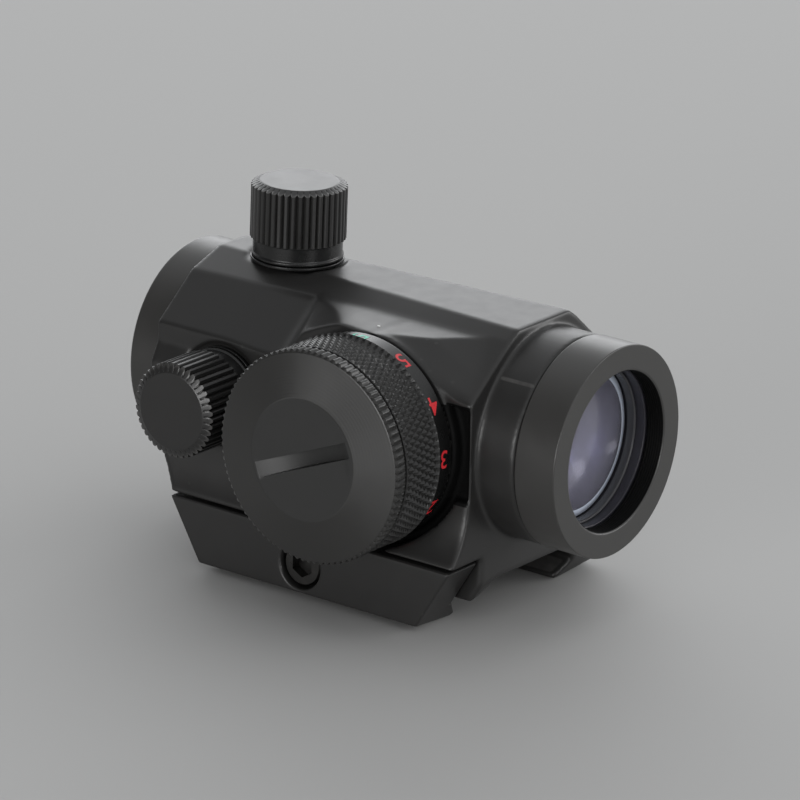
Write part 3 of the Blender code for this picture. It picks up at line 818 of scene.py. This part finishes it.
def look_along(direction, roll):
    """Rotation of a camera or lamp that faces along direction, rolled about it."""
    forward = Vector(direction).normalized()
    right = forward.cross(Vector((0, 0, 1))).normalized()
    up = right.cross(forward)
    turned_right = right * math.cos(roll) + up * math.sin(roll)
    turned_up = up * math.cos(roll) - right * math.sin(roll)
    return Matrix((turned_right, turned_up, -forward)).transposed().to_4x4()


CAMERA_AROUND = 35.875     # camera's bearing from +X towards +Y
CAMERA_ABOVE = 18.79
CAMERA_AWAY = 692.9
CAMERA_ROLL = 2.131
CAMERA_AIM = (-1.31, -6.83, 14.89)
LENS = 263.3


def camera():
    data = bpy.data.cameras.new("camera")
    data.lens, data.sensor_width = LENS, 36.0
    data.clip_start, data.clip_end = 0.01, 50.0
    around, above = math.radians(CAMERA_AROUND), math.radians(CAMERA_ABOVE)
    outward = Vector((math.cos(above) * math.cos(around), math.cos(above) * math.sin(around),
                      math.sin(above)))
    place = (Vector(CAMERA_AIM) + outward * CAMERA_AWAY) * MM
    made = bpy.data.objects.new("camera", data)
    made.matrix_world = Matrix.Translation(place) @ look_along(-outward, math.radians(CAMERA_ROLL))
    bpy.context.scene.collection.objects.link(made)
    bpy.context.scene.camera = made


def softbox(name, direction, away, width, height, power, colour=(1.0, 1.0, 1.0)):
    """A rectangular lamp, in metres and watts, that stands away in a direction and faces the object."""
    data = bpy.data.lights.new(name, "AREA")
    data.shape, data.size, data.size_y = "RECTANGLE", width, height
    data.energy, data.color = power, colour
    lamp = bpy.data.objects.new(name, data)
    lamp.visible_camera = False
    toward = Vector(direction).normalized()
    lamp.matrix_world = Matrix.Translation(toward * away) @ look_along(-toward, 0.0)
    bpy.context.scene.collection.objects.link(lamp)


def floor(material):
    """A large pale sheet just under the lowest part of the object."""
    size, height = 3000.0, FLOOR_Z - 0.02
    mesh = bpy.data.meshes.new("floor")
    corners = [(-size, -size, height), (size, -size, height), (size, size, height), (-size, size, height)]
    mesh.from_pydata([tuple(c * MM for c in corner) for corner in corners], [], [(0, 1, 2, 3)])
    mesh.materials.append(material)
    made = bpy.data.objects.new("floor", mesh)
    bpy.context.scene.collection.objects.link(made)


SKY = 0.68
DARK_WALL = (0.77, -0.62, 0.16)     # the side of the studio that sends back little light


def studio():
    """Soft sky with one dim side, and four softboxes."""
    world = bpy.data.worlds.new("studio")
    world.use_nodes = True
    background = world.node_tree.nodes["Background"]
    background.inputs["Color"].default_value = (0.97, 0.985, 1.0, 1.0)
    tree = world.node_tree
    toward = node(tree, "ShaderNodeVectorMath", operation="DOT_PRODUCT")
    tree.links.new(node(tree, "ShaderNodeTexCoord").outputs["Generated"], toward.inputs[0])
    toward.inputs[1].default_value = Vector(DARK_WALL).normalized()
    shade = node(tree, "ShaderNodeMapRange", interpolation_type="SMOOTHSTEP")
    for key, value in (("From Min", 0.35), ("From Max", 0.93), ("To Min", SKY), ("To Max", SKY * 0.05)):
        shade.inputs[key].default_value = value
    tree.links.new(toward.outputs["Value"], shade.inputs["Value"])
    tree.links.new(shade.outputs["Result"], background.inputs["Strength"])
    bpy.context.scene.world = world
    bpy.context.scene.view_settings.view_transform = "Standard"
    softbox("far_softbox", (-0.77, -0.55, 0.33), away=1.6, width=1.5, height=0.8, power=7.8,
            colour=(0.97, 0.985, 1.0))
    softbox("front_softbox", (-0.77, 0.60, 0.16), away=1.5, width=0.9, height=0.5, power=6.0)
    softbox("side_softbox", (0.97, -0.02, 0.10), away=1.7, width=0.9, height=0.4, power=12.0)
    softbox("low_softbox", (0.30, 0.95, 0.06), away=1.7, width=0.7, height=0.35, power=5.0)


# ---------------------------------------------------------------- assembly

def carried_over(finishes):
    """Each CAD node that stays in view takes its slot's finish."""
    slots = {item["node"]: item["material_slot"] for item in frame["record"]["subparts"]}
    for name, item in frame["nodes"].items():
        if item.hide_render:
            continue
        material = finishes[slots[name]]
        item.data.materials.clear()
        item.data.materials.append(material)


def main():
    shell = anodised("shell_finish")
    # The rings' base colour is about twice the shell's: partly their own finer turned finish, partly a painted sheen.
    ring = anodised("ring_finish_and_painted_sheen", colour=(0.040, 0.039, 0.0375), roughness=0.33, strength=0.2, wear=0.0)
    knurl = anodised("dial_finish", colour=(0.022, 0.0215, 0.021), roughness=0.33, wear=0.3)
    cap = anodised("cap_finish", roughness=0.33, strength=0.14, wear=0.4)
    inner = anodised("inner_finish", roughness=0.3, wear=0.0)
    finishes = {
        "anodised_shell": shell, "anodised_ring": ring, "anodised_dial": knurl, "anodised_cap": cap,
        "anodised_inner": inner,
        "clear_glass": glass("window_glass", (0.95, 0.97, 0.97)),
        "coated_glass": glass("lens_glass", (0.7, 0.69, 0.82), roughness=0.13, transmission=0.86),
        "seal_rubber": moulded("rubber_finish", (0.012, 0.012, 0.012), 0.6),
        "nylon": moulded("nylon_finish", (0.55, 0.54, 0.5), 0.45),
        "black_plastic": moulded("plastic_finish", (0.02, 0.02, 0.021), 0.5),
        "red_lens": moulded("emitter_finish", (0.6, 0.01, 0.01), 0.15),
        "spring_steel": metal("spring_finish", (0.55, 0.54, 0.52), 0.25),
        "bright_steel": metal("steel_finish", (0.62, 0.62, 0.61), 0.2),
        "cell_steel": metal("cell_finish", (0.66, 0.66, 0.65), 0.28),
        "black_steel": metal("black_steel_finish", (0.09, 0.088, 0.085), 0.32),
        "circuit_board": moulded("board_finish", (0.02, 0.16, 0.06), 0.4),
        "brass": metal("brass_finish", (0.72, 0.52, 0.22), 0.25),
        "white_paint": moulded("white_paint_finish", (0.85, 0.85, 0.83), 0.4, spread=0.08),
        "red_paint": moulded("red_paint_finish", (0.75, 0.03, 0.04), 0.4),
        "green_paint": moulded("green_paint_finish", (0.05, 0.6, 0.4), 0.4),
    }
    cone = lathe_turned("cone_finish")
    disc_finish = anodised("disc_finish", colour=(0.021, 0.021, 0.0205), roughness=0.42)
    # Painted shade: near-black and nearly unreflecting, for the channel round the dial boss and the thread grooves in
    # the front ring's mouth.
    painted_shade = anodised("painted_shade_finish", colour=(0.003, 0.003, 0.003), roughness=0.6, wear=0.0)
    painted_shade.node_tree.nodes["Principled BSDF"].inputs["Specular IOR Level"].default_value = 0.12
    body_piece(shell, painted_shade)
    clamp_piece(shell)
    objective_ring(ring, painted_shade)
    sight_tube(anodised("tube_finish", colour=(0.042, 0.041, 0.05), roughness=0.3, wear=0.0))
    objective_lens(finishes["coated_glass"], moulded("ground_edge_finish", (0.62, 0.68, 0.8), 0.35),
                   metal("mirror_coat_finish", (0.42, 0.43, 0.48), 0.34, strength=0.0))
    lens_ring(anodised("lens_ring_finish", colour=(0.07, 0.07, 0.075), roughness=0.25, wear=0.0))
    eyepiece_ring(ring)
    # Near-black material: the dial's number band, and painted shade on the adjuster caps' necks and on the adjuster
    # bushes.
    band_and_painted_shade = anodised("band_and_painted_shade_finish", colour=(0.006, 0.006, 0.006), roughness=0.28, wear=0.0)
    brightness_dial(knurl, band_and_painted_shade)
    battery_cap(cone, disc_finish)
    adjuster_cap("elevation_cap", "elevation_knob", 0.0, (0, 0, 1), cap, band_and_painted_shade)
    adjuster_cap("windage_cap", "windage_knob", WINDAGE_OUT, (1, 0, 0), cap, band_and_painted_shade)
    # Painted shade: the adjuster bushes take the near-black material.
    adjuster_seat("elevation_seat", "elevation_bush", 0.0, (0, 0, 1), band_and_painted_shade)
    adjuster_seat("windage_seat", "windage_bush", WINDAGE_OUT, (1, 0, 0), band_and_painted_shade)
    band_figures(finishes)
    index_dot(finishes["white_paint"])
    carried_over(finishes)
    floor(floor_finish())
    studio()
    camera()


main()
